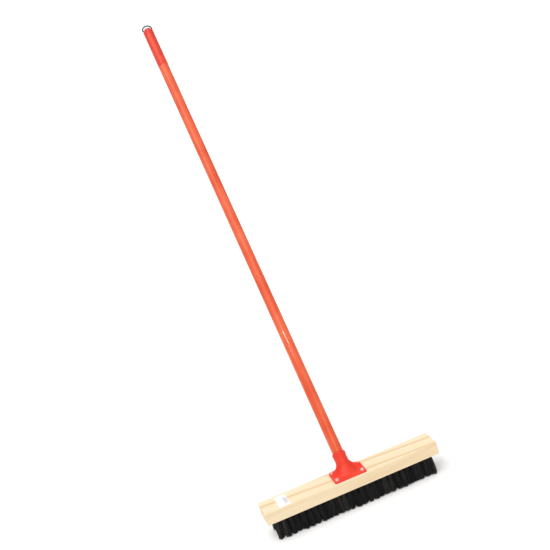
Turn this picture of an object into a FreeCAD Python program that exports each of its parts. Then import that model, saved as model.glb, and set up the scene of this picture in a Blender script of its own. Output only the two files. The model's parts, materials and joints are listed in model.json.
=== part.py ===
import FreeCAD, Part
import math
import os

import Sketcher

# Push broom: a pine block with five rows of tufts, a plastic bracket screwed on top of it
# and a coated steel handle that leans back and ends in a grip cap with a hanging loop.
# Millimetres. +X runs along the block, +Y points back, the way the handle leans, +Z is up.
# The origin is on the floor, at the middle of the bristle tips.

doc = FreeCAD.newDocument("push_broom")

# ---------------------------------------------------------------- driving dimensions
SIZES = {
    "block_length": 410.0,
    "block_depth": 60.0,
    "block_height": 28.0,
    "block_corner": 2.0,
    "block_arris": 1.0,
    "bristle_length": 46.0,
    "tuft_pitch": 14.0,
    "row_pitch": 10.5,
    "long_row_tufts": 27,
    "short_row_tufts": 26,
    "tuft_hole_radius": 3.5,
    "tuft_hole_depth": 15.0,
    "tuft_root_radius": 3.45,
    "root_gap": 0.5,
    "tuft_tip_radius": 5.2,
    "anchor_thickness": 0.5,
    "anchor_height": 2.0,
    "anchor_length": 6.6,
    "anchor_from_end": 3.0,
    "plate_length": 75.0,
    "plate_depth": 54.0,
    "plate_thickness": 4.0,
    "plate_front_corner": 4.0,
    "plate_back_corner": 9.0,
    "plate_edge": 1.0,
    "plate_shift": -2.0,
    "screw_spacing_x": 60.0,
    "screw_spacing_y": 34.0,
    "screw_radius": 2.0,
    "pilot_radius": 2.05,
    "screw_hole_radius": 2.2,
    "screw_head_radius": 4.4,
    "screw_head_top_radius": 3.2,
    "screw_tip_radius": 0.4,
    "screw_head_height": 2.4,
    "screw_length": 16.0,
    "screw_point_length": 4.0,
    "screw_drive_width": 1.1,
    "screw_drive_depth": 1.5,
    "handle_tilt": 38.0,
    "socket_back": 2.6,
    "socket_radius": 14.6,
    "socket_length": 46.0,
    "socket_floor": 14.5,
    "socket_bore_radius": 11.0,
    "socket_lip_radius": 15.2,
    "socket_lip_length": 5.0,
    "flare_base_half_length": 27.0,
    "flare_base_half_depth": 21.0,
    "flare_waist_half_length": 18.5,
    "flare_waist_half_depth": 16.5,
    "flare_waist_height": 11.0,
    "web_half_length": 34.5,
    "web_thickness": 5.0,
    "web_foot": 3.0,
    "web_end_height": 6.0,
    "web_shoulder_x": 29.0,
    "web_shoulder_z": 12.0,
    "web_hollow_x": 18.6,
    "web_hollow_z": 18.0,
    "web_top": 34.0,
    "flare_top": 30.0,
    "flare_top_half_length": 14.2,
    "flare_top_half_depth": 14.0,
    "tip_thread_radius": 10.95,
    "tip_end_gap": 1.0,
    "tip_flange_gap": 0.3,
    "tip_flange_length": 2.0,
    "tip_plug_radius": 11.6,
    "tip_plug_length": 30.0,
    "tube_inner_radius": 11.7,
    "tube_outer_radius": 12.2,
    "tube_end": 1230.0,
    "coating_radius": 12.5,
    "cap_start": 1128.0,
    "cap_end": 1240.0,
    "cap_bore_radius": 12.52,
    "cap_start_radius": 13.1,
    "cap_end_radius": 13.1,
    "cap_waist_radius": 12.9,
    "cap_flare_length": 24.0,
    "cap_edge": 2.0,
    "boss_radius": 8.5,
    "boss_height": 5.2,
    "boss_dome": 0.3,
    "loop_wire_radius": 1.6,
    "loop_half_width": 11.9,
    "loop_rise": 2.3,
    "loop_bend_radius": 2.0,
    "loop_pivot": 1243.0,
    "loop_pivot_reach": 4.5,
    "loop_pivot_bore_radius": 1.66,
    "pivot_end_gap": 0.5,
    "label_length": 26.0,
    "label_depth": 50.0,
    "label_thickness": 0.15,
    "label_x": -156.0,
    "label_y": -2.5,
}

sheet = doc.addObject("Spreadsheet::Sheet", "Sizes")
for index, (alias, value) in enumerate(SIZES.items(), start=1):
    sheet.set("A%d" % index, alias)
    sheet.set("B%d" % index, str(value))
    sheet.setAlias("B%d" % index, alias)
scratch = doc.addObject("Spreadsheet::Sheet", "Scratch")
doc.recompute()

ORIGIN_POINT = (-1, 1)
VERTICAL_AXIS = -2
HANDLE_DIRECTION_Y = "sin(Sizes.handle_tilt * 1 deg)"
HANDLE_DIRECTION_Z = "cos(Sizes.handle_tilt * 1 deg)"
BLOCK_TOP = "(Sizes.bristle_length + Sizes.block_height)"
PLATE_TOP = "(Sizes.bristle_length + Sizes.block_height + Sizes.plate_thickness)"
ROWS = (1, 2, 3, 4, 5)
WORDS_X = {-1: "left", 1: "right"}
WORDS_Y = {-1: "front", 1: "back"}
PARTS = []


# ---------------------------------------------------------------- helpers
def number(formula):
    """The value that a formula has now."""
    scratch.set("A1", "=" + formula)
    scratch.recompute()
    result = scratch.get("A1")
    return float(getattr(result, "Value", result))


def size(alias):
    """The value of one driving dimension."""
    return number("Sizes." + alias)


def place(target, x="0", y="0", z="0", prefix="Placement"):
    """Drive an object's position by three formulas."""
    for axis, formula in zip("xyz", (x, y, z)):
        target.setExpression("%s.Base.%s" % (prefix, axis), formula)


def tilt(target, angle="Sizes.handle_tilt", prefix="Placement"):
    """Lean an object's own Z back, by turning it about the -X direction."""
    backwards = FreeCAD.Rotation(FreeCAD.Vector(-1, 0, 0), number(angle))
    setattr(target, prefix, FreeCAD.Placement(FreeCAD.Vector(), backwards))
    target.setExpression("%s.Rotation.Angle" % prefix, angle + " * 1 deg")


def along_handle(distance):
    """Formulas for the point on the handle's axis at a distance from the block's top."""
    back = "Sizes.socket_back + (%s) * %s" % (distance, HANDLE_DIRECTION_Y)
    up = "%s + (%s) * %s" % (BLOCK_TOP, distance, HANDLE_DIRECTION_Z)
    return "0", back, up


def new_body(label):
    """A PartDesign body that is one sub-part."""
    body = doc.addObject("PartDesign::Body", "Body_" + label)
    body.Label = label
    PARTS.append(body)
    return body


def origin_feature(body, role):
    """One of a body's own origin planes or axes."""
    return [item for item in body.Origin.OriginFeatures if item.Role == role][0]


def new_sketch(body, name, plane="XY_Plane"):
    """A sketch attached to one of its own body's origin planes."""
    sketch = body.newObject("Sketcher::SketchObject", name)
    sketch.AttachmentSupport = (origin_feature(body, plane), [""])
    sketch.MapMode = "FlatFace"
    return sketch


def polygon(sketch, corners):
    """A closed outline whose corners are pairs of formulas, each one dimensioned."""
    points = [FreeCAD.Vector(number(x), number(y), 0) for x, y in corners]
    count = len(points)
    for i in range(count):
        sketch.addGeometry(Part.LineSegment(points[i], points[(i + 1) % count]), False)
    for i in range(count):
        sketch.addConstraint(Sketcher.Constraint("Coincident", i, 2, (i + 1) % count, 1))
    for i, (x, y) in enumerate(corners):
        if x == "0":
            sketch.addConstraint(Sketcher.Constraint("PointOnObject", i, 1, VERTICAL_AXIS))
        else:
            dimension(sketch, "DistanceX", i, points[i].x, x)
        if y == "0":
            sketch.addConstraint(Sketcher.Constraint("PointOnObject", i, 1, -1))
        else:
            dimension(sketch, "DistanceY", i, points[i].y, y)


def dimension(sketch, kind, line, now, formula):
    """Drive the distance of a line's start from the sketch's origin."""
    index = sketch.addConstraint(Sketcher.Constraint(kind, *ORIGIN_POINT, line, 1, now))
    sketch.setExpression("Constraints[%d]" % index, formula)


def rectangle(sketch, width, height, middle_y="0"):
    """A rectangle about the sketch's vertical axis, each corner dimensioned."""
    right = "(%s) / 2" % width
    left = "-(%s) / 2" % width
    low = "(%s) - (%s) / 2" % (middle_y, height)
    high = "(%s) + (%s) / 2" % (middle_y, height)
    polygon(sketch, [(left, low), (right, low), (right, high), (left, high)])


def circle(sketch, radius):
    """A circle about the sketch's origin."""
    ring = Part.Circle(FreeCAD.Vector(), FreeCAD.Vector(0, 0, 1), number(radius))
    sketch.addGeometry(ring, False)
    sketch.addConstraint(Sketcher.Constraint("Coincident", 0, 3, *ORIGIN_POINT))
    index = sketch.addConstraint(Sketcher.Constraint("Radius", 0, number(radius)))
    sketch.setExpression("Constraints[%d]" % index, radius)


def pad(body, sketch, length, both_ways=False):
    """Extrude a sketch, upwards from it or evenly to both of its sides."""
    feature = body.newObject("PartDesign::Pad", sketch.Name + "_pad")
    feature.Profile = sketch
    feature.Midplane = both_ways
    feature.setExpression("Length", length)
    sketch.Visibility = False
    doc.recompute()
    return feature


def pocket(body, sketch, depth, upwards=False, both_ways=False):
    """Cut a sketch away, and make sure that something was cut."""
    before = body.Shape.Volume
    feature = body.newObject("PartDesign::Pocket", sketch.Name + "_pocket")
    feature.Profile = sketch
    feature.Midplane = both_ways
    feature.Reversed = upwards
    feature.setExpression("Length", depth)
    doc.recompute()
    if body.Shape.Volume >= before:
        raise RuntimeError(feature.Name + " cuts nothing")
    return feature


def revolve(body, corners, name):
    """Turn an outline of (radius, height) formulas about the body's Z axis."""
    sketch = new_sketch(body, name, "XZ_Plane")
    polygon(sketch, corners)
    feature = body.newObject("PartDesign::Revolution", name + "_turned")
    feature.Profile = sketch
    feature.ReferenceAxis = (origin_feature(body, "Z_Axis"), [""])
    feature.Angle = 360.0
    doc.recompute()
    return feature


def repeat_along_x(body, features, count):
    """Repeat features at the tuft pitch along the block."""
    pattern = body.newObject("PartDesign::LinearPattern", features[0].Name + "_row")
    pattern.Originals = features
    pattern.Direction = (origin_feature(body, "X_Axis"), [""])
    pattern.setExpression("Length", "Sizes.tuft_pitch * (%s - 1)" % count)
    pattern.setExpression("Occurrences", count)
    body.Tip = pattern
    doc.recompute()
    return pattern


def round_edges(body, base, wanted, radius, name):
    """Fillet the edges of a feature that a test picks."""
    names = []
    for i, edge in enumerate(base.Shape.Edges, start=1):
        if wanted(edge):
            names.append("Edge%d" % i)
    feature = body.newObject("PartDesign::Fillet", name)
    feature.Base = (base, names)
    feature.setExpression("Radius", radius)
    doc.recompute()
    return feature


def stands_upright(edge):
    """Whether an edge runs along Z only."""
    box = edge.BoundBox
    return box.ZLength > 1.0 and box.XLength < 0.01 and box.YLength < 0.01


def primitive(kind, name, **sizes):
    """A Part primitive whose sizes are formulas."""
    shape = doc.addObject("Part::" + kind, name)
    for key, formula in sizes.items():
        shape.setExpression(key, formula)
    return shape


def combine(kind, name, shapes):
    """One boolean of several shapes."""
    feature = doc.addObject("Part::" + kind, name)
    feature.Shapes = shapes
    return feature


def row_count(row):
    """Odd rows hold one tuft more than the even rows between them."""
    return "Sizes.long_row_tufts" if row % 2 else "Sizes.short_row_tufts"


def row_start(row):
    """Formulas for where a row's first tuft stands. Row 1 is the front one."""
    first_x = "-Sizes.tuft_pitch * (%s - 1) / 2" % row_count(row)
    first_y = "Sizes.row_pitch * %d" % (row - 3)
    return first_x, first_y


# ---------------------------------------------------------------- block
def make_block():
    """Pine bar with blind tuft holes below and pilot holes for the screws on top."""
    body = new_body("block")
    place(body, z="Sizes.bristle_length")
    outline = new_sketch(body, "block_outline")
    rectangle(outline, "Sizes.block_length", "Sizes.block_depth")
    bar = pad(body, outline, "Sizes.block_height")
    corners = round_edges(body, bar, stands_upright, "Sizes.block_corner", "block_corners")

    def on_the_rim(edge):
        return edge.BoundBox.ZLength < 0.01

    round_edges(body, corners, on_the_rim, "Sizes.block_arris", "block_arrises")
    for row in ROWS:
        first_x, first_y = row_start(row)
        hole = new_sketch(body, "tuft_hole_%d" % row)
        place(hole, first_x, first_y, prefix="AttachmentOffset")
        circle(hole, "Sizes.tuft_hole_radius")
        drilled = pocket(body, hole, "Sizes.tuft_hole_depth", upwards=True)
        repeat_along_x(body, [drilled], row_count(row))
    pilot_depth = "Sizes.screw_length - Sizes.plate_thickness"
    for side in (-1, 1):
        for end in (-1, 1):
            pilot = new_sketch(body, "pilot_%s_%s" % (WORDS_X[end], WORDS_Y[side]))
            x = "%d * Sizes.screw_spacing_x / 2" % end
            y = "Sizes.plate_shift + %d * Sizes.screw_spacing_y / 2" % side
            place(pilot, x, y, "Sizes.block_height", prefix="AttachmentOffset")
            circle(pilot, "Sizes.pilot_radius")
            pocket(body, pilot, pilot_depth)


# ---------------------------------------------------------------- tufts and their anchors
def anchor_height():
    """How high above the block's underside the middle of an anchor wire lies."""
    return "Sizes.tuft_hole_depth - Sizes.anchor_from_end"


def make_tuft_row(row):
    """One row of folded tufts: a straight root in its hole and a part that spreads to its tip."""
    body = new_body("bristle_row_%d" % row)
    first_x, first_y = row_start(row)
    place(body, first_x, first_y)
    root_top = "Sizes.bristle_length + Sizes.tuft_hole_depth - Sizes.root_gap"
    outline = [
        ("0", "0"),
        ("Sizes.tuft_tip_radius", "0"),
        ("Sizes.tuft_root_radius", "Sizes.bristle_length"),
        ("Sizes.tuft_root_radius", root_top),
        ("0", root_top),
    ]
    tuft = revolve(body, outline, "tuft_%d" % row)
    fold = new_sketch(body, "fold_%d" % row, "YZ_Plane")
    middle = "Sizes.bristle_length + " + anchor_height()
    rectangle(fold, "Sizes.anchor_thickness", "Sizes.anchor_height", middle)
    cut = pocket(body, fold, "4 * Sizes.tuft_root_radius", both_ways=True)
    repeat_along_x(body, [tuft, cut], row_count(row))


def make_anchor_row(row):
    """The flat wires that hold one row of tufts, each across the fold of its tuft."""
    body = new_body("tuft_anchors_%d" % row)
    first_x, first_y = row_start(row)
    place(body, first_x, first_y)
    section = new_sketch(body, "anchor_%d" % row, "YZ_Plane")
    middle = "Sizes.bristle_length + " + anchor_height()
    rectangle(section, "Sizes.anchor_thickness", "Sizes.anchor_height", middle)
    wire = pad(body, section, "Sizes.anchor_length", both_ways=True)
    repeat_along_x(body, [wire], row_count(row))


# ---------------------------------------------------------------- bracket
def make_bracket():
    """Moulded plate and leaning socket, with a flare between them and a web at each side."""
    plate = primitive("Box", "plate", Length="Sizes.plate_length", Width="Sizes.plate_depth",
                      Height="Sizes.plate_thickness")
    place(plate, "-Sizes.plate_length / 2", "Sizes.plate_shift - Sizes.plate_depth / 2", BLOCK_TOP)
    doc.recompute()
    corners = doc.addObject("Part::Fillet", "plate_corners")
    corners.Base = plate
    corners.Edges = [(i, plate_corner_radius(edge), plate_corner_radius(edge))
                     for i, edge in enumerate(plate.Shape.Edges, start=1) if stands_upright(edge)]
    doc.recompute()
    rounded = doc.addObject("Part::Fillet", "rounded_plate")
    rounded.Base = corners
    top = corners.Shape.BoundBox.ZMax
    softened = size("plate_edge")
    rounded.Edges = [(i, softened, softened) for i, edge in enumerate(corners.Shape.Edges, start=1)
                     if edge.BoundBox.ZMin > top - size("plate_thickness") / 2]

    socket = primitive("Cylinder", "socket", Radius="Sizes.socket_radius",
                       Height="Sizes.socket_length - Sizes.socket_floor / 2")
    tilt(socket)
    place(socket, *along_handle("Sizes.socket_floor / 2"))
    lip = primitive("Cylinder", "socket_lip", Radius="Sizes.socket_lip_radius",
                    Height="Sizes.socket_lip_length")
    tilt(lip)
    place(lip, *along_handle("Sizes.socket_length - Sizes.socket_lip_length"))

    solids = [rounded, make_flare(), socket, lip, make_web(-1), make_web(1)]
    outside = combine("MultiFuse", "bracket_outside", solids)

    bore = primitive("Cylinder", "socket_bore", Radius="Sizes.socket_bore_radius",
                     Height="Sizes.socket_length")
    tilt(bore)
    place(bore, *along_handle("Sizes.socket_floor"))
    below = primitive("Box", "below_plate", Length="2 * Sizes.plate_length",
                      Width="2 * Sizes.plate_depth", Height="Sizes.block_height")
    place(below, "-Sizes.plate_length", "-Sizes.plate_depth", "Sizes.bristle_length")
    tools = [bore, below]
    for side in (-1, 1):
        for end in (-1, 1):
            name = "screw_hole_%s_%s" % (WORDS_X[end], WORDS_Y[side])
            hole = primitive("Cylinder", name, Radius="Sizes.screw_hole_radius",
                             Height="3 * Sizes.plate_thickness")
            place(hole, "%d * Sizes.screw_spacing_x / 2" % end,
                  "Sizes.plate_shift + %d * Sizes.screw_spacing_y / 2" % side,
                  BLOCK_TOP + " - Sizes.plate_thickness")
            tools.append(hole)
    bracket = doc.addObject("Part::Cut", "Bracket")
    bracket.Base = outside
    bracket.Tool = combine("MultiFuse", "bracket_holes", tools)
    bracket.Label = "bracket"
    PARTS.append(bracket)


def plate_corner_radius(edge):
    """The plate's back corners are rounder than its front ones."""
    at_front = edge.CenterOfMass.y < size("plate_shift")
    return size("plate_front_corner" if at_front else "plate_back_corner")


def make_web(end):
    """A side web in the plane of the handle's axis: a hollow from the socket to a low shoulder."""
    inside = end * size("socket_radius") / 2
    half = size("web_thickness") / 2
    corners = [
        FreeCAD.Vector(inside, -half, size("web_foot")),
        FreeCAD.Vector(end * size("web_half_length"), -half, size("web_foot")),
        FreeCAD.Vector(end * size("web_half_length"), -half, size("web_end_height")),
        FreeCAD.Vector(end * size("web_shoulder_x"), -half, size("web_shoulder_z")),
        FreeCAD.Vector(end * size("socket_radius"), -half, size("web_top")),
        FreeCAD.Vector(inside, -half, size("web_top")),
    ]
    hollow = FreeCAD.Vector(end * size("web_hollow_x"), -half, size("web_hollow_z"))
    edges = [Part.LineSegment(corners[i], corners[(i + 1) % 6]).toShape() for i in (0, 1, 2, 4, 5)]
    edges.insert(3, Part.Arc(corners[3], hollow, corners[4]).toShape())
    web = doc.addObject("Part::Feature", "web_" + WORDS_X[end])
    web.Shape = Part.Face(Part.Wire(edges)).extrude(FreeCAD.Vector(0, 2 * half, 0))
    tilt(web)
    place(web, *along_handle("0"))
    return web


def make_flare():
    """A bell between the plate and the socket, lofted through three closed sections."""
    base = primitive("Ellipse", "flare_base", MajorRadius="Sizes.flare_base_half_length",
                     MinorRadius="Sizes.flare_base_half_depth")
    place(base, "0", "0", PLATE_TOP + " - Sizes.plate_thickness / 2")
    waist = primitive("Ellipse", "flare_waist", MajorRadius="Sizes.flare_waist_half_length",
                      MinorRadius="Sizes.flare_waist_half_depth")
    tilt(waist, "Sizes.handle_tilt / 2")
    place(waist, *along_handle("Sizes.flare_waist_height"))
    top = primitive("Ellipse", "flare_top", MajorRadius="Sizes.flare_top_half_length",
                    MinorRadius="Sizes.flare_top_half_depth")
    tilt(top)
    place(top, *along_handle("Sizes.flare_top"))
    flare = doc.addObject("Part::Loft", "flare")
    flare.Sections = [base, waist, top]
    flare.Solid = True
    flare.Ruled = False
    return flare


# ---------------------------------------------------------------- screws
def make_screws():
    """Four pan-head wood screws with a straight slot."""
    solids = []
    under_head = "Sizes.screw_length"
    head_top = "Sizes.screw_length + Sizes.screw_head_height"
    for side in (-1, 1):
        for end in (-1, 1):
            name = "%s_%s" % (WORDS_X[end], WORDS_Y[side])
            point = primitive("Cone", "screw_point_" + name, Radius1="Sizes.screw_tip_radius",
                              Radius2="Sizes.screw_radius", Height="Sizes.screw_point_length")
            shank = primitive("Cylinder", "screw_shank_" + name, Radius="Sizes.screw_radius",
                              Height="Sizes.screw_length - Sizes.screw_point_length")
            place(shank, z="Sizes.screw_point_length")
            head = primitive("Cone", "screw_head_" + name, Radius1="Sizes.screw_head_radius",
                             Radius2="Sizes.screw_head_top_radius",
                             Height="Sizes.screw_head_height")
            place(head, z=under_head)
            slot = primitive("Box", "screw_slot_" + name, Length="4 * Sizes.screw_head_radius",
                             Width="Sizes.screw_drive_width", Height="Sizes.screw_head_height")
            place(slot, "-2 * Sizes.screw_head_radius", "-Sizes.screw_drive_width / 2",
                  head_top + " - Sizes.screw_drive_depth")
            metal = combine("MultiFuse", "screw_metal_" + name, [point, shank, head])
            screw = doc.addObject("Part::Cut", "screw_" + name)
            screw.Base = metal
            screw.Tool = slot
            place(screw, "%d * Sizes.screw_spacing_x / 2" % end,
                  "Sizes.plate_shift + %d * Sizes.screw_spacing_y / 2" % side,
                  PLATE_TOP + " - Sizes.screw_length")
            solids.append(screw)
    group = doc.addObject("Part::Compound", "Screws")
    group.Links = solids
    group.Label = "bracket_screws"
    PARTS.append(group)


# ---------------------------------------------------------------- handle
def handle_body(label, outline):
    """A piece turned about the handle's axis, from (radius, distance along the axis) pairs."""
    body = new_body(label)
    tilt(body)
    place(body, *along_handle("0"))
    revolve(body, outline, label + "_outline")
    return body


def make_threaded_tip():
    """Plug in the tube's lower end: it fills the socket and stops on a flange at its lip."""
    flange = "Sizes.socket_length + Sizes.tip_flange_gap"
    plug = flange + " + Sizes.tip_flange_length"
    top = plug + " + Sizes.tip_plug_length"
    handle_body("threaded_tip", [
        ("0", "Sizes.socket_floor + Sizes.tip_end_gap"),
        ("Sizes.tip_thread_radius", "Sizes.socket_floor + Sizes.tip_end_gap"),
        ("Sizes.tip_thread_radius", flange),
        ("Sizes.coating_radius", flange),
        ("Sizes.coating_radius", plug),
        ("Sizes.tip_plug_radius", plug),
        ("Sizes.tip_plug_radius", top),
        ("0", top),
    ])


def sleeve(label, inner, outer, start, stop):
    """A plain tube along the handle."""
    handle_body(label, [(inner, start), (outer, start), (outer, stop), (inner, stop)])


def make_tube_and_coating():
    """Steel tube and the plastic film shrunk over it."""
    start = "Sizes.socket_length + Sizes.tip_flange_gap + Sizes.tip_flange_length"
    sleeve("handle_tube", "Sizes.tube_inner_radius", "Sizes.tube_outer_radius",
           start, "Sizes.tube_end")
    sleeve("handle_coating", "Sizes.tube_outer_radius", "Sizes.coating_radius",
           start, "Sizes.tube_end")


def make_end_cap():
    """Grip sleeve over the tube's upper end, closed by a boss with two holes for the loop."""
    body = handle_body("end_cap", [
        ("0", "Sizes.tube_end"),
        ("Sizes.cap_bore_radius", "Sizes.tube_end"),
        ("Sizes.cap_bore_radius", "Sizes.cap_start"),
        ("Sizes.cap_start_radius", "Sizes.cap_start"),
        ("Sizes.cap_waist_radius", "Sizes.cap_start + Sizes.cap_edge"),
        ("Sizes.cap_waist_radius", "Sizes.cap_end - Sizes.cap_flare_length"),
        ("Sizes.cap_end_radius", "Sizes.cap_end - Sizes.cap_edge"),
        ("Sizes.cap_end_radius - Sizes.cap_edge", "Sizes.cap_end"),
        ("Sizes.boss_radius", "Sizes.cap_end"),
        ("Sizes.boss_radius", "Sizes.cap_end + Sizes.boss_height"),
        ("0", "Sizes.cap_end + Sizes.boss_height + Sizes.boss_dome"),
    ])
    depth = "Sizes.boss_radius - Sizes.loop_pivot_reach + Sizes.pivot_end_gap"
    for end in (-1, 1):
        hole = new_sketch(body, "pivot_hole_" + WORDS_X[end], "YZ_Plane")
        offset_x = "%d * Sizes.boss_radius" % end
        place(hole, "0", "Sizes.loop_pivot", offset_x, prefix="AttachmentOffset")
        circle(hole, "Sizes.loop_pivot_bore_radius")
        pocket(body, hole, depth, upwards=end < 0)


def make_hanging_loop():
    """Round wire bail: a half circle, two legs and two pins turned in to the cap's holes."""
    reach = size("loop_pivot_reach")
    half = size("loop_half_width")
    rise = size("loop_rise")
    bend = size("loop_bend_radius")
    diagonal = bend * (1 - math.cos(math.pi / 4))
    vector = FreeCAD.Vector
    edges = []
    for end in (-1, 1):
        pin = Part.LineSegment(vector(end * reach, 0, 0), vector(end * (half - bend), 0, 0))
        corner = Part.Arc(vector(end * (half - bend), 0, 0),
                          vector(end * (half - diagonal), 0, diagonal),
                          vector(end * half, 0, bend))
        leg = Part.LineSegment(vector(end * half, 0, bend), vector(end * half, 0, rise))
        edges += [pin.toShape(), corner.toShape(), leg.toShape()]
    arch = Part.Arc(vector(-half, 0, rise), vector(0, 0, rise + half), vector(half, 0, rise))
    edges.append(arch.toShape())
    path = Part.Wire(Part.__sortEdges__(edges))
    start = path.OrderedVertexes[0].Point
    ring = Part.Wire(Part.makeCircle(size("loop_wire_radius"), start, vector(1, 0, 0)))
    loop = doc.addObject("Part::Feature", "Hanging_loop")
    loop.Shape = path.makePipeShell([ring], True, True)
    tilt(loop)
    place(loop, *along_handle("Sizes.loop_pivot"))
    loop.Label = "hanging_loop"
    PARTS.append(loop)


# ---------------------------------------------------------------- label
def make_price_label():
    """Paper sticker on the block's top, near its left end."""
    label = primitive("Box", "Price_label", Length="Sizes.label_length",
                      Width="Sizes.label_depth", Height="Sizes.label_thickness")
    place(label, "Sizes.label_x - Sizes.label_length / 2",
          "Sizes.label_y - Sizes.label_depth / 2", BLOCK_TOP)
    label.Label = "price_label"
    PARTS.append(label)


# ---------------------------------------------------------------- build, check and write
def check_and_export():
    """Stop on any failed object or bad shape, then write one file for each sub-part."""
    doc.recompute()
    for item in doc.Objects:
        if "Invalid" in item.State or "Error" in item.State:
            raise RuntimeError("%s is in state %s" % (item.Name, item.State))
    for part in PARTS:
        if part.Shape.isNull() or not part.Shape.isValid() or not part.Shape.Solids:
            raise RuntimeError(part.Label + " has no valid solid")
    os.makedirs("parts", exist_ok=True)
    for part in PARTS:
        part.Shape.exportStep("parts/%s.step" % part.Label)
        volume = sum(solid.Volume for solid in part.Shape.Solids)
        print("%-18s %4d solids %10.1f mm3" % (part.Label, len(part.Shape.Solids), volume))


make_block()
for row in ROWS:
    make_tuft_row(row)
    make_anchor_row(row)
make_bracket()
make_screws()
make_threaded_tip()
make_tube_and_coating()
make_end_cap()
make_hanging_loop()
make_price_label()
check_and_export()
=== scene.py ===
import json
import math

import bpy
import numpy as np
from mathutils import Matrix, Vector


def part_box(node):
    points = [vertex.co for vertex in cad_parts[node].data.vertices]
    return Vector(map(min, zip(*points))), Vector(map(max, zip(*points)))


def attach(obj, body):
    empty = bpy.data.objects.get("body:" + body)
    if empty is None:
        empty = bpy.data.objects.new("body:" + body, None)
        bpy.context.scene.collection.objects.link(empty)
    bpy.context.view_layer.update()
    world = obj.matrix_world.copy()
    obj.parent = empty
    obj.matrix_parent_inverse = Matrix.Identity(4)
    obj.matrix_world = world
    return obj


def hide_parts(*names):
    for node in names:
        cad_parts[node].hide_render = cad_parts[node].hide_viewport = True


# Looks of the push broom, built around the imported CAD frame. Metres. +X runs along the block,
# +Y points back, the way the handle leans, +Z is up, and the floor is at z = 0.

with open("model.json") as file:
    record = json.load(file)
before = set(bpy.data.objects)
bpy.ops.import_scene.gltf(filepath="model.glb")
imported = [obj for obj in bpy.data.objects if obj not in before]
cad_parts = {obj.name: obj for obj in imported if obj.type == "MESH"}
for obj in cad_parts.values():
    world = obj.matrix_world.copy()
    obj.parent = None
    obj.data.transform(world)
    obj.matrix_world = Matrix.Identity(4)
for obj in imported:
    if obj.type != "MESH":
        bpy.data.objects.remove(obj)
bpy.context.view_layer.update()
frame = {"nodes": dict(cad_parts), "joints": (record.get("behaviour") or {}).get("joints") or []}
NODES = frame["nodes"]
RANDOM_SEED = 20
ROWS = (1, 2, 3, 4, 5)


# ---------------------------------------------------------------- node helpers
def map_range(tree, value, low, high, new_low, new_high):
    """A Map Range node from low..high to new_low..new_high; returns its output."""
    made = tree.nodes.new("ShaderNodeMapRange")
    limits = {"From Min": low, "From Max": high, "To Min": new_low, "To Max": new_high}
    for key, number in limits.items():
        made.inputs[key].default_value = number
    tree.links.new(value, made.inputs["Value"])
    return made.outputs["Result"]


def math_node(tree, operation, *values):
    """A Math node whose inputs are sockets or numbers; returns its output."""
    made = tree.nodes.new("ShaderNodeMath")
    made.operation = operation
    for socket, value in zip(made.inputs, values):
        if isinstance(value, bpy.types.NodeSocket):
            tree.links.new(value, socket)
        else:
            socket.default_value = value
    return made.outputs[0]


class Recipe:
    """A material and short ways to add and link its nodes."""

    def __init__(self, name):
        self.material = bpy.data.materials.new(name)
        self.material.use_nodes = True
        self.tree = self.material.node_tree
        self.shader = self.tree.nodes["Principled BSDF"]

    def node(self, kind, **settings):
        """One node, with its attributes or input defaults set by name."""
        made = self.tree.nodes.new(kind)
        for key, value in settings.items():
            if hasattr(made, key):
                setattr(made, key, value)
            else:
                made.inputs[key.replace("_", " ")].default_value = value
        return made

    def link(self, output, socket):
        self.tree.links.new(output, socket)

    def shader_value(self, **values):
        """Constants on the shader's own sockets."""
        for key, value in values.items():
            self.shader.inputs[key.replace("_", " ")].default_value = value

    def coordinates(self, scale=(1, 1, 1), turn=(0, 0, 0)):
        """Object coordinates in metres, scaled per axis."""
        source = self.node("ShaderNodeTexCoord")
        mapping = self.node("ShaderNodeMapping")
        mapping.inputs["Scale"].default_value = scale
        mapping.inputs["Rotation"].default_value = turn
        self.link(source.outputs["Object"], mapping.inputs["Vector"])
        return mapping.outputs["Vector"]

    def noise(self, vector, scale, detail=3.0, roughness=0.5, distortion=0.0):
        made = self.node("ShaderNodeTexNoise")
        made.inputs["Scale"].default_value = scale
        made.inputs["Detail"].default_value = detail
        made.inputs["Roughness"].default_value = roughness
        made.inputs["Distortion"].default_value = distortion
        self.link(vector, made.inputs["Vector"])
        return made.outputs["Fac"]

    def ramp(self, factor, stops):
        """A colour ramp from (position, colour) stops."""
        made = self.node("ShaderNodeValToRGB")
        elements = made.color_ramp.elements
        while len(elements) < len(stops):
            elements.new(0.5)
        for element, (position, colour) in zip(elements, stops):
            element.position = position
            element.color = (*colour, 1.0)
        self.link(factor, made.inputs["Fac"])
        return made.outputs["Color"]

    def remap(self, value, low, high, new_low, new_high):
        return map_range(self.tree, value, low, high, new_low, new_high)

    def mix(self, factor, a, b, blend="MIX"):
        """Blend two colours; factor is a socket or a number."""
        made = self.node("ShaderNodeMix", data_type="RGBA", blend_type=blend)
        for socket, value in ((made.inputs[0], factor), (made.inputs[6], a), (made.inputs[7], b)):
            if isinstance(value, bpy.types.NodeSocket):
                self.link(value, socket)
            else:
                socket.default_value = value if isinstance(value, float) else (*value, 1.0)
        return made.outputs[2]

    def window(self, value, start, stop):
        """1 between start and stop and 0 outside."""
        above = math_node(self.tree, "GREATER_THAN", value, start)
        below = math_node(self.tree, "LESS_THAN", value, stop)
        return math_node(self.tree, "MULTIPLY", above, below)

    def bump(self, height, strength, distance):
        made = self.node("ShaderNodeBump")
        made.inputs["Strength"].default_value = strength
        made.inputs["Distance"].default_value = distance
        self.link(height, made.inputs["Height"])
        return made.outputs["Normal"]

    def finish(self, colour=None, roughness=None, normal=None):
        if colour is not None:
            self.link(colour, self.shader.inputs["Base Color"])
        if roughness is not None:
            self.link(roughness, self.shader.inputs["Roughness"])
        if normal is not None:
            self.link(normal, self.shader.inputs["Normal"])
        return self.material


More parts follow.
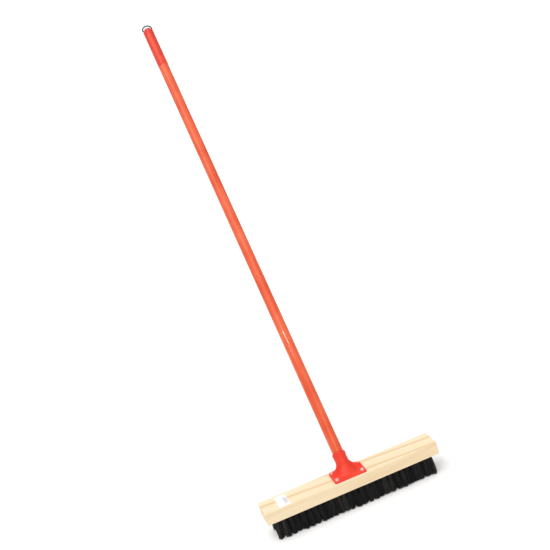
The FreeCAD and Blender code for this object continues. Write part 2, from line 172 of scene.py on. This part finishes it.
# ---------------------------------------------------------------- materials
PINE_PALE = (0.94, 0.820, 0.590)
PINE_RING = (0.88, 0.700, 0.445)
PINE_DARK = (0.77, 0.555, 0.310)
# Colour of the faces below the top: partly edge-grain tone, partly painted shade that keeps the
# sides darker than the top.
PINE_SIDE_GRAIN_AND_SHADE = (0.94, 0.765, 0.525)
RING_FADE_DEPTH = 0.004
RING_FULL_DEPTH = 0.0005
COAT_ROUGHNESS = 0.03
FILM_DEEP = (0.80, 0.115, 0.048)
FILM_PALE = (0.88, 0.175, 0.075)
BRISTLE_DARK = (0.0025, 0.0025, 0.003)
BRISTLE_BLACK = (0.014, 0.014, 0.014)
BRISTLE_GREY = (0.075, 0.072, 0.067)
INK = (0.42, 0.42, 0.46)
BAR_SCALE = 0.55


def pine():
    """Planed softwood: fine straight grain along X, soft growth rings and a few darker streaks; the
    sides are darker and warmer than the top, partly edge-grain tone and partly painted shade.
    """
    r = Recipe("pine")
    fine = r.noise(r.coordinates((9, 520, 520)), 1.0, 4.0, 0.62)
    bands = r.noise(r.coordinates((1.8, 42, 42)), 1.0, 2.0, 0.5, 0.8)
    rings = r.node("ShaderNodeTexWave", wave_type="BANDS", bands_direction="Y")
    rings.inputs["Scale"].default_value = 1.0
    rings.inputs["Distortion"].default_value = 9.0
    rings.inputs["Detail"].default_value = 2.0
    rings.inputs["Detail Scale"].default_value = 0.30
    r.link(r.coordinates((1.4, 13, 13), (0.45, 0.0, 0.55)), rings.inputs["Vector"])
    stops = [(0.0, PINE_PALE), (0.70, PINE_PALE), (0.93, PINE_RING), (1.0, PINE_DARK)]
    ringed = r.ramp(rings.outputs["Fac"], stops)
    source = r.node("ShaderNodeTexCoord")
    place = r.node("ShaderNodeSeparateXYZ")
    r.link(source.outputs["Object"], place.inputs["Vector"])
    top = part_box("block")[1].z
    faded, full = top - RING_FADE_DEPTH, top - RING_FULL_DEPTH
    # Below the top face the colour turns to the darker, warmer side colour: partly edge-grain tone,
    # partly painted shade.
    on_top = r.remap(place.outputs["Z"], faded, full, 0.22, 0.75)
    colour = r.mix(on_top, PINE_SIDE_GRAIN_AND_SHADE, ringed)
    broad = r.ramp(bands, [(0.30, (0.93, 0.87, 0.78)), (0.60, (1.0, 1.0, 1.0))])
    colour = r.mix(0.8, colour, broad, "MULTIPLY")
    streak = r.ramp(fine, [(0.30, (0.86, 0.79, 0.68)), (0.56, (1.0, 1.0, 1.0))])
    colour = r.mix(0.40, colour, streak, "MULTIPLY")
    roughness = r.remap(fine, 0.3, 0.7, 0.66, 0.54)
    normal = r.bump(fine, 0.25, 0.0002)
    r.shader_value(Specular_IOR_Level=0.25)
    return r.finish(colour, roughness, normal)


def moulded(name, colour, darker, roughness, coat, grain=0.12):
    """Moulded plastic: faint colour drift, fine surface grain and a clear gloss."""
    r = Recipe(name)
    drift = r.noise(r.coordinates(), 45.0, 2.0)
    fine = r.noise(r.coordinates(), 900.0, 2.0)
    tint = r.ramp(drift, [(0.35, darker), (0.62, colour)])
    rough = r.remap(drift, 0.3, 0.7, roughness + 0.05, roughness - 0.03)
    r.shader_value(Coat_Weight=coat, Coat_Roughness=COAT_ROUGHNESS, Specular_IOR_Level=0.15)
    return r.finish(tint, rough, r.bump(fine, grain, 0.00008))


def coating():
    """Glossy film shrunk over the tube: lengthwise draw lines and colour drift."""
    r = Recipe("handle_film")
    lean = math.atan2(HANDLE_AXIS.y, HANDLE_AXIS.z)
    upright = r.coordinates((1, 1, 1), (lean, 0, 0))
    stretch = r.node("ShaderNodeMapping")
    stretch.inputs["Scale"].default_value = (210, 210, 3)
    r.link(upright, stretch.inputs["Vector"])
    lines = r.noise(stretch.outputs["Vector"], 1.0, 3.0)
    drift = r.noise(upright, 16.0, 3.0)
    tint = r.ramp(drift, [(0.35, FILM_DEEP), (0.65, FILM_PALE)])
    streaks = r.ramp(lines, [(0.36, (0.84, 0.50, 0.36)), (0.56, (1.0, 1.0, 1.0))])
    tint = r.mix(0.75, tint, streaks, "MULTIPLY")
    rough = r.remap(lines, 0.3, 0.7, 0.44, 0.34)
    r.shader_value(Coat_Weight=0.25, Coat_Roughness=0.05, Specular_IOR_Level=0.15)
    return r.finish(tint, rough, r.bump(lines, 0.15, 0.0001))


def bristle():
    """Black synthetic filament: slight sheen, and greyer streaks from one filament to the next."""
    r = Recipe("bristle")
    each = r.node("ShaderNodeAttribute", attribute_name="shade")
    stops = [(0.0, BRISTLE_DARK), (0.65, BRISTLE_BLACK), (1.0, BRISTLE_GREY)]
    tint = r.ramp(each.outputs["Fac"], stops)
    rough = r.remap(each.outputs["Fac"], 0.0, 1.0, 0.42, 0.60)
    r.shader_value(Specular_IOR_Level=0.28)
    fine = r.noise(r.coordinates((900, 900, 60)), 1.0, 2.0)
    return r.finish(tint, rough, r.bump(fine, 0.15, 0.00005))


def metal(name, colour, roughness):
    """Plated or drawn steel: brushed noise in tint and roughness."""
    r = Recipe(name)
    marks = r.noise(r.coordinates((1, 1, 1)), 700.0, 3.0)
    tint = r.ramp(marks, [(0.3, tuple(c * 0.86 for c in colour)), (0.7, colour)])
    rough = r.remap(marks, 0.3, 0.7, roughness + 0.08, roughness - 0.05)
    r.shader_value(Metallic=1.0)
    return r.finish(tint, rough, r.bump(marks, 0.08, 0.00004))


def paper():
    """White sticker with a block of plain grey bars printed across its right end."""
    r = Recipe("label_paper")
    low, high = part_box("price_label")
    size = high - low
    source = r.node("ShaderNodeTexCoord")
    place = r.node("ShaderNodeSeparateXYZ")
    r.link(source.outputs["Object"], place.inputs["Vector"])
    across = r.remap(place.outputs["X"], low.x, high.x, 0.0, 1.0)
    down = r.remap(place.outputs["Y"], low.y, high.y, 0.0, 1.0)
    bars = r.node("ShaderNodeTexWave", wave_type="BANDS", bands_direction="X")
    bars.inputs["Scale"].default_value = BAR_SCALE / size.y
    bars.inputs["Distortion"].default_value = 2.2
    bars.inputs["Detail"].default_value = 0.0
    r.link(r.coordinates((60, 700, 1), (0, 0, math.pi / 2)), bars.inputs["Vector"])
    ink = r.ramp(bars.outputs["Fac"], [(0.50, (0.0, 0.0, 0.0)), (0.62, (1.0, 1.0, 1.0))])
    window = r.window(across, 0.60, 0.94)
    window_down = r.window(down, 0.20, 0.74)
    both = math_node(r.tree, "MULTIPLY", window, window_down)
    printed = math_node(r.tree, "MULTIPLY", both, ink)
    fibre = r.noise(r.coordinates(), 2500.0, 3.0)
    white = r.ramp(fibre, [(0.3, (0.93, 0.93, 0.94)), (0.7, (0.97, 0.97, 0.98))])
    tint = r.mix(printed, white, INK)
    r.shader_value(Roughness=0.6)
    return r.finish(tint, None, r.bump(fibre, 0.1, 0.00005))


# ---------------------------------------------------------------- measures from the frame
def joint(name):
    return [j for j in frame["joints"] if j["name"] == name][0]


HANDLE_AXIS = Vector(joint("handle_removal")["axis"]).normalized()


# ---------------------------------------------------------------- mesh helpers
def new_object(name, vertices, faces, material, smooth=True):
    """An object at the origin whose mesh is in the row frame."""
    mesh = bpy.data.meshes.new(name)
    mesh.from_pydata([tuple(v) for v in vertices], [], [tuple(f) for f in faces])
    mesh.polygons.foreach_set("use_smooth", [smooth] * len(mesh.polygons))
    mesh.materials.append(material)
    made = bpy.data.objects.new(name, mesh)
    bpy.context.scene.collection.objects.link(made)
    return made


# ---------------------------------------------------------------- bristles
FILAMENTS = 96
FILAMENT_RADIUS = 0.00042
FILAMENT_SIDES = 4
FILAMENT_RINGS = 5
TAPER = 0.12
ROOT_RADIUS = 0.0036
TIP_RADIUS = 0.0071
ROOT_DEPTH = 0.004
BULGE = 0.0012
END_SPLAY = {-1: 0.0020, 1: 0.0}
TUFT_LEAN = 0.0009
CLUMPS = 4
CLUMP_LEAN = 0.0013
TUFT_LENGTH_NOISE = 0.0004
ROUNDED_TRIM = 0.0010
GOLDEN_ANGLE = 2.399963
ANGLE_NOISE = 0.15
SPREAD_SHARE = (0.86, 1.08)
FILAMENT_NOISE = 0.0003
FILAMENT_LENGTH_NOISE = 0.0004
FLOOR_GAP = 0.0001
SPLAY_POWER = 9
CLUMP_SHADE = 0.35
TUFT_SHADE = 0.25
FILAMENT_SHADE = 0.4
TUFTS = {row: 27 if row % 2 else 26 for row in ROWS}


def filament(root, tip, bow):
    """Vertices of one tapered filament that bows sideways between its root and tip."""
    height = np.linspace(0.0, 1.0, FILAMENT_RINGS)
    line = root + (tip - root) * height[:, None] + bow * (height * (1 - height) * 4)[:, None]
    turn = np.arange(FILAMENT_SIDES) * 2 * math.pi / FILAMENT_SIDES
    ring = np.stack([np.cos(turn), np.sin(turn), np.zeros(FILAMENT_SIDES)], axis=1)
    width = FILAMENT_RADIUS * (1.0 - TAPER * height)
    return (line[:, None, :] + ring[None, :, :] * width[:, None, None]).reshape(-1, 3)


def filament_faces(start):
    """Side faces, the tip's cap and the root's cap."""
    sides, rings = FILAMENT_SIDES, FILAMENT_RINGS
    faces = []
    for k in range(rings - 1):
        for i in range(sides):
            j = (i + 1) % sides
            a, b = start + k * sides, start + (k + 1) * sides
            faces.append((a + i, b + i, b + j, a + j))
    faces.append(tuple(start + (rings - 1) * sides + i for i in range(sides)))
    faces.append(tuple(start + i for i in reversed(range(sides))))
    return faces


def bristle_row(row, material):
    """One row of tufts, each a bundle of filaments that spreads towards its rounded tips."""
    random = np.random.default_rng(RANDOM_SEED + row)
    low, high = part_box("bristle_row_%d" % row)
    block_low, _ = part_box("block")
    tip_half = (high.y - low.y) / 2
    first, last = low.x + tip_half, high.x - tip_half
    middle_y = (low.y + high.y) / 2
    vertices, faces, shades = [], [], []
    count = TUFTS[row]
    per_filament = FILAMENT_SIDES * FILAMENT_RINGS
    for k in range(count):
        centre = np.array([first + (last - first) * k / (count - 1), middle_y])
        share = 2 * k / (count - 1) - 1
        lean = random.normal(0, TUFT_LEAN, 2)
        lean[0] += share ** SPLAY_POWER * END_SPLAY[1 if share > 0 else -1]
        clump_lean = random.normal(0, CLUMP_LEAN, (CLUMPS, 2))
        clump_shade = random.uniform(0, CLUMP_SHADE, CLUMPS)
        shorter = abs(random.normal(0, TUFT_LENGTH_NOISE))
        tuft_shade = random.uniform(0, TUFT_SHADE)
        for i in range(FILAMENTS):
            reach = math.sqrt((i + 0.5) / FILAMENTS)
            angle = i * GOLDEN_ANGLE + random.normal(0, ANGLE_NOISE)
            way = np.array([math.cos(angle), math.sin(angle)])
            root_xy = centre + way * reach * ROOT_RADIUS
            spread = TIP_RADIUS * reach * random.uniform(*SPREAD_SHARE)
            clump = int((angle % (2 * math.pi)) / (2 * math.pi) * CLUMPS)
            drift = lean + clump_lean[clump] * reach
            tip_xy = centre + way * spread + drift + random.normal(0, FILAMENT_NOISE, 2)
            trim = abs(random.normal(0, FILAMENT_LENGTH_NOISE)) + shorter + ROUNDED_TRIM * reach ** 3
            root = np.array([*root_xy, block_low.z + ROOT_DEPTH])
            tip = np.array([*tip_xy, FLOOR_GAP + trim])
            bow = np.array([*(way * BULGE * reach + random.normal(0, FILAMENT_NOISE, 2)), 0.0])
            faces += filament_faces(len(vertices) * per_filament)
            vertices.append(filament(root, tip, bow))
            shade = min(1.0, tuft_shade + clump_shade[clump] + random.uniform(0, FILAMENT_SHADE))
            shades += [shade] * per_filament
    made = new_object("tufts_row_%d" % row, np.concatenate(vertices), faces, material)
    attribute = made.data.attributes.new("shade", "FLOAT", "POINT")
    attribute.data.foreach_set("value", np.array(shades, np.float32))
    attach(made, "head")
    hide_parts("bristle_row_%d" % row)
    return made


# ---------------------------------------------------------------- dress the CAD nodes
def dress(node, material):
    """Give a CAD node a better material."""
    slots = NODES[node].material_slots
    for slot in slots:
        slot.material = material
    if not len(slots):
        NODES[node].data.materials.append(material)


MATERIALS = {
    "pine": pine(),
    "red": moulded("red_plastic", (0.86, 0.064, 0.033), (0.80, 0.050, 0.027), 0.48, 0.10),
    "tip": moulded("tip_plastic", (0.80, 0.06, 0.04), (0.72, 0.05, 0.03), 0.45, 0.1),
    "cap": moulded("cap_plastic", (0.80, 0.078, 0.034), (0.74, 0.046, 0.038), 0.55, 0.35, 0.03),
    "film": coating(),
    "bristle": bristle(),
    "zinc": metal("zinc_plate", (0.98, 0.92, 0.89), 0.45),
    "steel": metal("rolled_steel", (0.52, 0.51, 0.50), 0.38),
    "loop": moulded("loop_plastic", (0.030, 0.027, 0.025), (0.020, 0.018, 0.017), 0.60, 0.0),
    "paper": paper(),
}
DRESSED = {
    "block": "pine",
    "bracket": "red",
    "bracket_screws": "zinc",
    "price_label": "paper",
    "threaded_tip": "tip",
    "handle_tube": "steel",
    "handle_coating": "film",
    "end_cap": "cap",
    "hanging_loop": "loop",
}
for node_name, material_name in DRESSED.items():
    dress(node_name, MATERIALS[material_name])
for row_number in ROWS:
    dress("tuft_anchors_%d" % row_number, MATERIALS["steel"])
    bristle_row(row_number, MATERIALS["bristle"])


# ---------------------------------------------------------------- floor, lights, camera
def make_floor():
    """A large pale floor, not part of the object."""
    r = Recipe("floor")
    mottle = r.noise(r.coordinates(), 3.0, 2.0)
    r.shader_value(Roughness=0.9, Specular_IOR_Level=0.1, Emission_Color=(1, 1, 1, 1),
                   Emission_Strength=FLOOR_GLOW)
    material = r.finish(r.ramp(mottle, [(0.3, FLOOR_DULL), (0.7, FLOOR_PALE)]))
    half = FLOOR_SIZE / 2
    corners = [(-half, -half, 0), (half, -half, 0), (half, half, 0), (-half, half, 0)]
    floor = new_object("floor", corners, [(0, 1, 2, 3)], material, smooth=False)


def sun(name, towards, strength, angle, colour):
    """A distant light that shines from a direction; its angle softens the shadows."""
    data = bpy.data.lights.new(name, "SUN")
    data.energy = strength
    data.angle = math.radians(angle)
    data.color = colour
    light = bpy.data.objects.new(name, data)
    light.matrix_world = Vector(towards).to_track_quat("Z", "Y").to_matrix().to_4x4()
    bpy.context.scene.collection.objects.link(light)


def make_world():
    """Pale surroundings, darker to the left and right, with a bright band at the horizon."""
    world = bpy.data.worlds.new("studio")
    world.use_nodes = True
    tree = world.node_tree
    source = tree.nodes.new("ShaderNodeTexCoord")
    place = tree.nodes.new("ShaderNodeSeparateXYZ")
    tree.links.new(source.outputs["Generated"], place.inputs["Vector"])
    sideways = math_node(tree, "ABSOLUTE", place.outputs["X"])
    fade = map_range(tree, sideways, *SIDE_FADE, WORLD_LIGHT, SIDE_LIGHT)
    upwards = math_node(tree, "ABSOLUTE", place.outputs["Z"])
    band = map_range(tree, upwards, *HORIZON_BAND, HORIZON_LIGHT, 0.0)
    strength = math_node(tree, "MAXIMUM", fade, band)
    background = tree.nodes["Background"]
    background.inputs["Color"].default_value = (1.0, 1.0, 1.0, 1.0)
    tree.links.new(strength, background.inputs["Strength"])
    bpy.context.scene.world = world


def make_camera():
    """The photograph's viewing angle: in front, to the left and above, rolled clockwise."""
    data = bpy.data.cameras.new("camera")
    data.sensor_width = SENSOR_WIDTH
    data.lens = CAMERA_LENS
    data.clip_end = CAMERA_REACH
    camera = bpy.data.objects.new("camera", data)
    forward = Vector(CAMERA_FORWARD).normalized()
    right = Vector(CAMERA_RIGHT)
    right = (right - forward * right.dot(forward)).normalized()
    up = right.cross(forward)
    axes = Matrix((right, up, -forward)).transposed().to_4x4()
    camera.matrix_world = Matrix.Translation(CAMERA_PLACE) @ axes
    bpy.context.scene.collection.objects.link(camera)
    bpy.context.scene.camera = camera


FLOOR_SIZE = 1200.0
FLOOR_DULL = (0.915, 0.915, 0.925)
FLOOR_PALE = (0.93, 0.93, 0.94)
FLOOR_GLOW = 0.10
WORLD_LIGHT = 0.70
SIDE_LIGHT = 0.30
HORIZON_LIGHT = 1.05
SIDE_FADE = (0.45, 0.90)
HORIZON_BAND = (0.010, 0.015)
SENSOR_WIDTH = 36.0
CAMERA_REACH = 2000.0
CAMERA_LENS = 71.35
CAMERA_PLACE = (-0.4014, -2.0997, 1.2348)
CAMERA_RIGHT = (0.9199, -0.2619, -0.2920)
CAMERA_FORWARD = (0.1711, 0.9378, -0.3020)

make_floor()
sun("soft_overhead", (-0.25, -0.20, 1.0), 1.45, 50.0, (1.0, 0.99, 0.97))
sun("small_lamp", (-0.30, -0.70, 1.0), 0.30, 1.5, (1.0, 0.98, 0.95))
make_world()
bpy.context.scene.view_settings.view_transform = "Standard"
make_camera()
